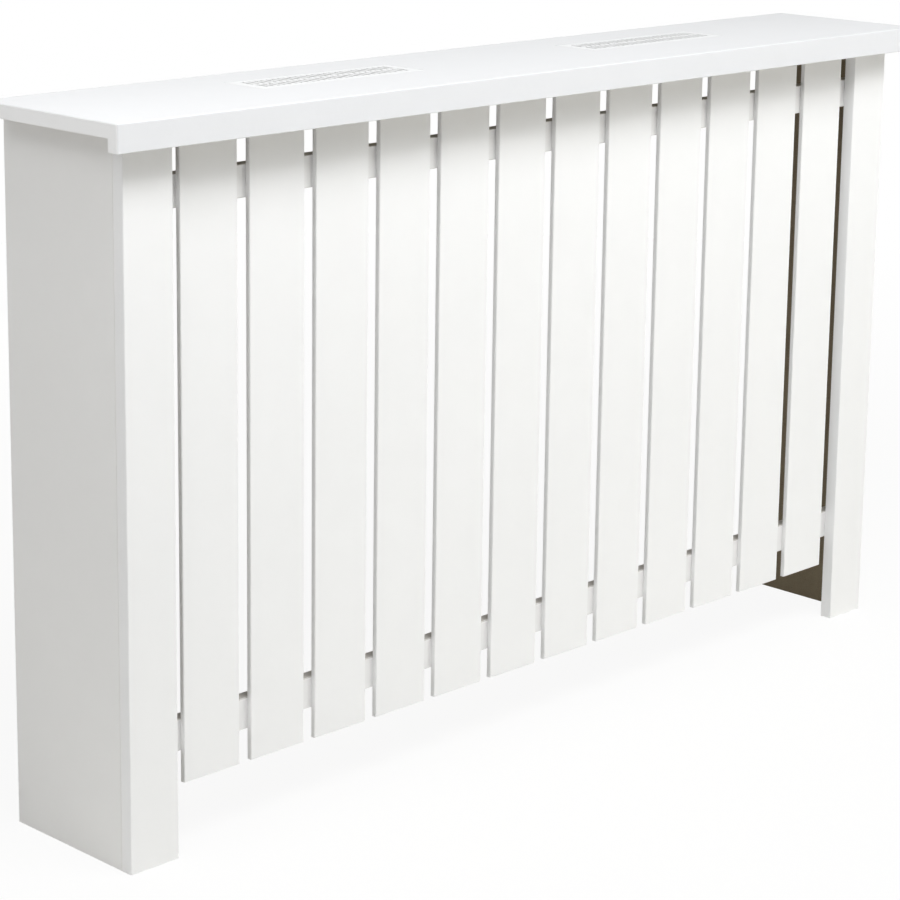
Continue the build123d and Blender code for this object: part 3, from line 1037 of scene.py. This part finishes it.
# %% [markdown]
# The paint also mirrors the room. A studio has its white sheet behind the object and is dimmer
# in front, so the world's white falls off towards the front for glossy rays. Otherwise the top
# would look burnt out from behind, where it mirrors the side with the lamps as well. To light
# the cover, the world gives only a faint fill.

# %% Room
fill_level = 0.04
front_sheet, back_sheet = 0.25, 1.0

world = bpy.data.worlds.new("studio")
bpy.context.scene.world = world
world.use_nodes = True
sky = world.node_tree
fill = sky.nodes["Background"]
fill.inputs["Color"].default_value = (1.0, 1.0, 1.0, 1)
ray = add(sky, "ShaderNodeLightPath", (-900, 200)).outputs
direction = add(sky, "ShaderNodeTexCoord", (-1100, -100)).outputs["Generated"]
way = split(sky, direction, (-900, -100))
sheet = remap(sky, way[1], (-0.4, 0.3), (front_sheet, back_sheet), (-700, -100))
mirrored = sum_of(sky, "MULTIPLY", ray["Is Glossy Ray"], sheet, (-500, 0))
seen = sum_of(sky, "MAXIMUM", ray["Is Camera Ray"], mirrored, (-300, 200))
strength = sum_of(sky, "MULTIPLY_ADD", seen, 1.0 - fill_level, (-100, 200), third=fill_level)
join(sky, strength, fill.inputs["Strength"])
print("room set, fill", fill_level)

# %% [markdown]
# ## Light
#
# The photograph's shadows tell where its lamps were. Under the lip the slats are dark for some
# three centimetres and fade out by seven, so the main light is a wide soft box that stands
# nearly sixty degrees above the front. It stands a little to the left, because the shadow is
# deeper at that end, and the inner face of the right stile is lit.
#
# Weaker boxes do the rest. One stands high at the right, and one low at the right opens up the
# shadow. Two at the left, low and high, light the side panel, and a small one near the left end
# of the top lifts that corner, which is the brightest place. The last two stand low at the right
# side and behind, where only the other views see what they do. The upper edges of all the low
# boxes are lower than the cover's top, or their reflections would glare along it.
#
# In the photograph the shadows are a little warmer than the lit boards, so the low box at the
# right is warm and the high ones in front are a trace cool.
#
# To balance eight lamps by hand takes many renders. Light adds up, so one small render with each
# lamp alone is enough: the powers then come out of a least-squares fit to the photograph's tones.

# %% Lamps
neutral, cool, warm = (1, 1, 1), (0.978, 0.989, 1.0), (1.0, 0.97, 0.86)
low_middle = 0.42
high_size, low_size = (1.6, 1.0), (1.8, 0.7)


def soft_box(name, place, aim, size, power, colour=neutral):
    """A rectangular lamp that looks at a point. The power is in watts."""
    data = bpy.data.lights.new(name, "AREA")
    data.shape = "RECTANGLE"
    data.size, data.size_y = size
    data.energy = power
    data.color = colour
    lamp = new_object(name, data)
    lamp.location = place
    lamp.rotation_mode = "QUATERNION"
    lamp.rotation_quaternion = (Vector(place) - Vector(aim)).to_track_quat("Z", "Y")
    lamp.visible_camera = False
    print(name, "at", place, "power", power)


# Name, place, point to look at, width and height, power, colour.
soft_box("main box", (-0.25, -1.32, 2.75), (0.0, -0.1, 0.67), (2.2, 0.9), 59.5, cool)
soft_box("right high box", (1.8, -1.8, 2.4), (0.0, 0.0, 0.5), high_size, 26.5, cool)
soft_box("right low box", (1.5, -2.4, low_middle), (0.3, 0.0, low_middle), low_size, 10.6, warm)
soft_box("left low box", (-2.6, -0.4, low_middle), (-0.6, 0.0, low_middle), low_size, 9.0)
soft_box("left high box", (-2.0, 0.9, 2.2), (-0.3, 0.0, 0.6), high_size, 8.5)
soft_box("corner box", (-1.1, -0.3, 1.35), (-0.65, -0.1, 0.8), (0.4, 0.4), 1.5)
soft_box("right side box", (2.6, 0.2, low_middle), (0.6, 0.0, low_middle), low_size, 6.5)
soft_box("wall side box", (0.1, 2.3, low_middle), (0.0, 0.0, low_middle), (2.0, 0.7), 11.0)

# %% [markdown]
# ## Camera
#
# The camera's place comes from a fit: the cover's corners were marked on the photograph, and a
# pinhole camera was moved until the same corners of the model fell near them. It stands at the
# left front, some forty centimetres above the top, with a long lens. Product photographers shift
# the lens and keep the camera level, so that uprights stay upright. Here the shift is small and
# the camera dips for the rest, because every other view keeps the shift too, and a large one
# would push the cover out of the frame. The price is a slight splay of the uprights.

# %% Camera
picture_width = 900
focal_pixels = 2691.1
sensor_width = 36.0
camera_place = (-2.3263, -2.1937, 1.2092)
swing, dip, tilt = math.radians(44.989), math.radians(12.485), math.radians(0.649)

lens = bpy.data.cameras.new("camera")
lens.sensor_width = sensor_width
lens.lens = focal_pixels / picture_width * lens.sensor_width
lens.shift_x, lens.shift_y = 0.03, -0.15
lens.clip_start, lens.clip_end = 0.05, 100.0
camera = new_object("camera", lens)
swung = Matrix.Rotation(-swing, 4, "Z")
dipped = Matrix.Rotation(math.pi / 2 - dip, 4, "X")
tilted = Matrix.Rotation(tilt, 4, "Z")
camera.matrix_world = Matrix.Translation(camera_place) @ (swung @ dipped @ tilted)
bpy.context.scene.camera = camera
bpy.context.scene.view_settings.view_transform = "Standard"
print("lens", round(lens.lens, 1), "mm, shift", lens.shift_x, lens.shift_y)
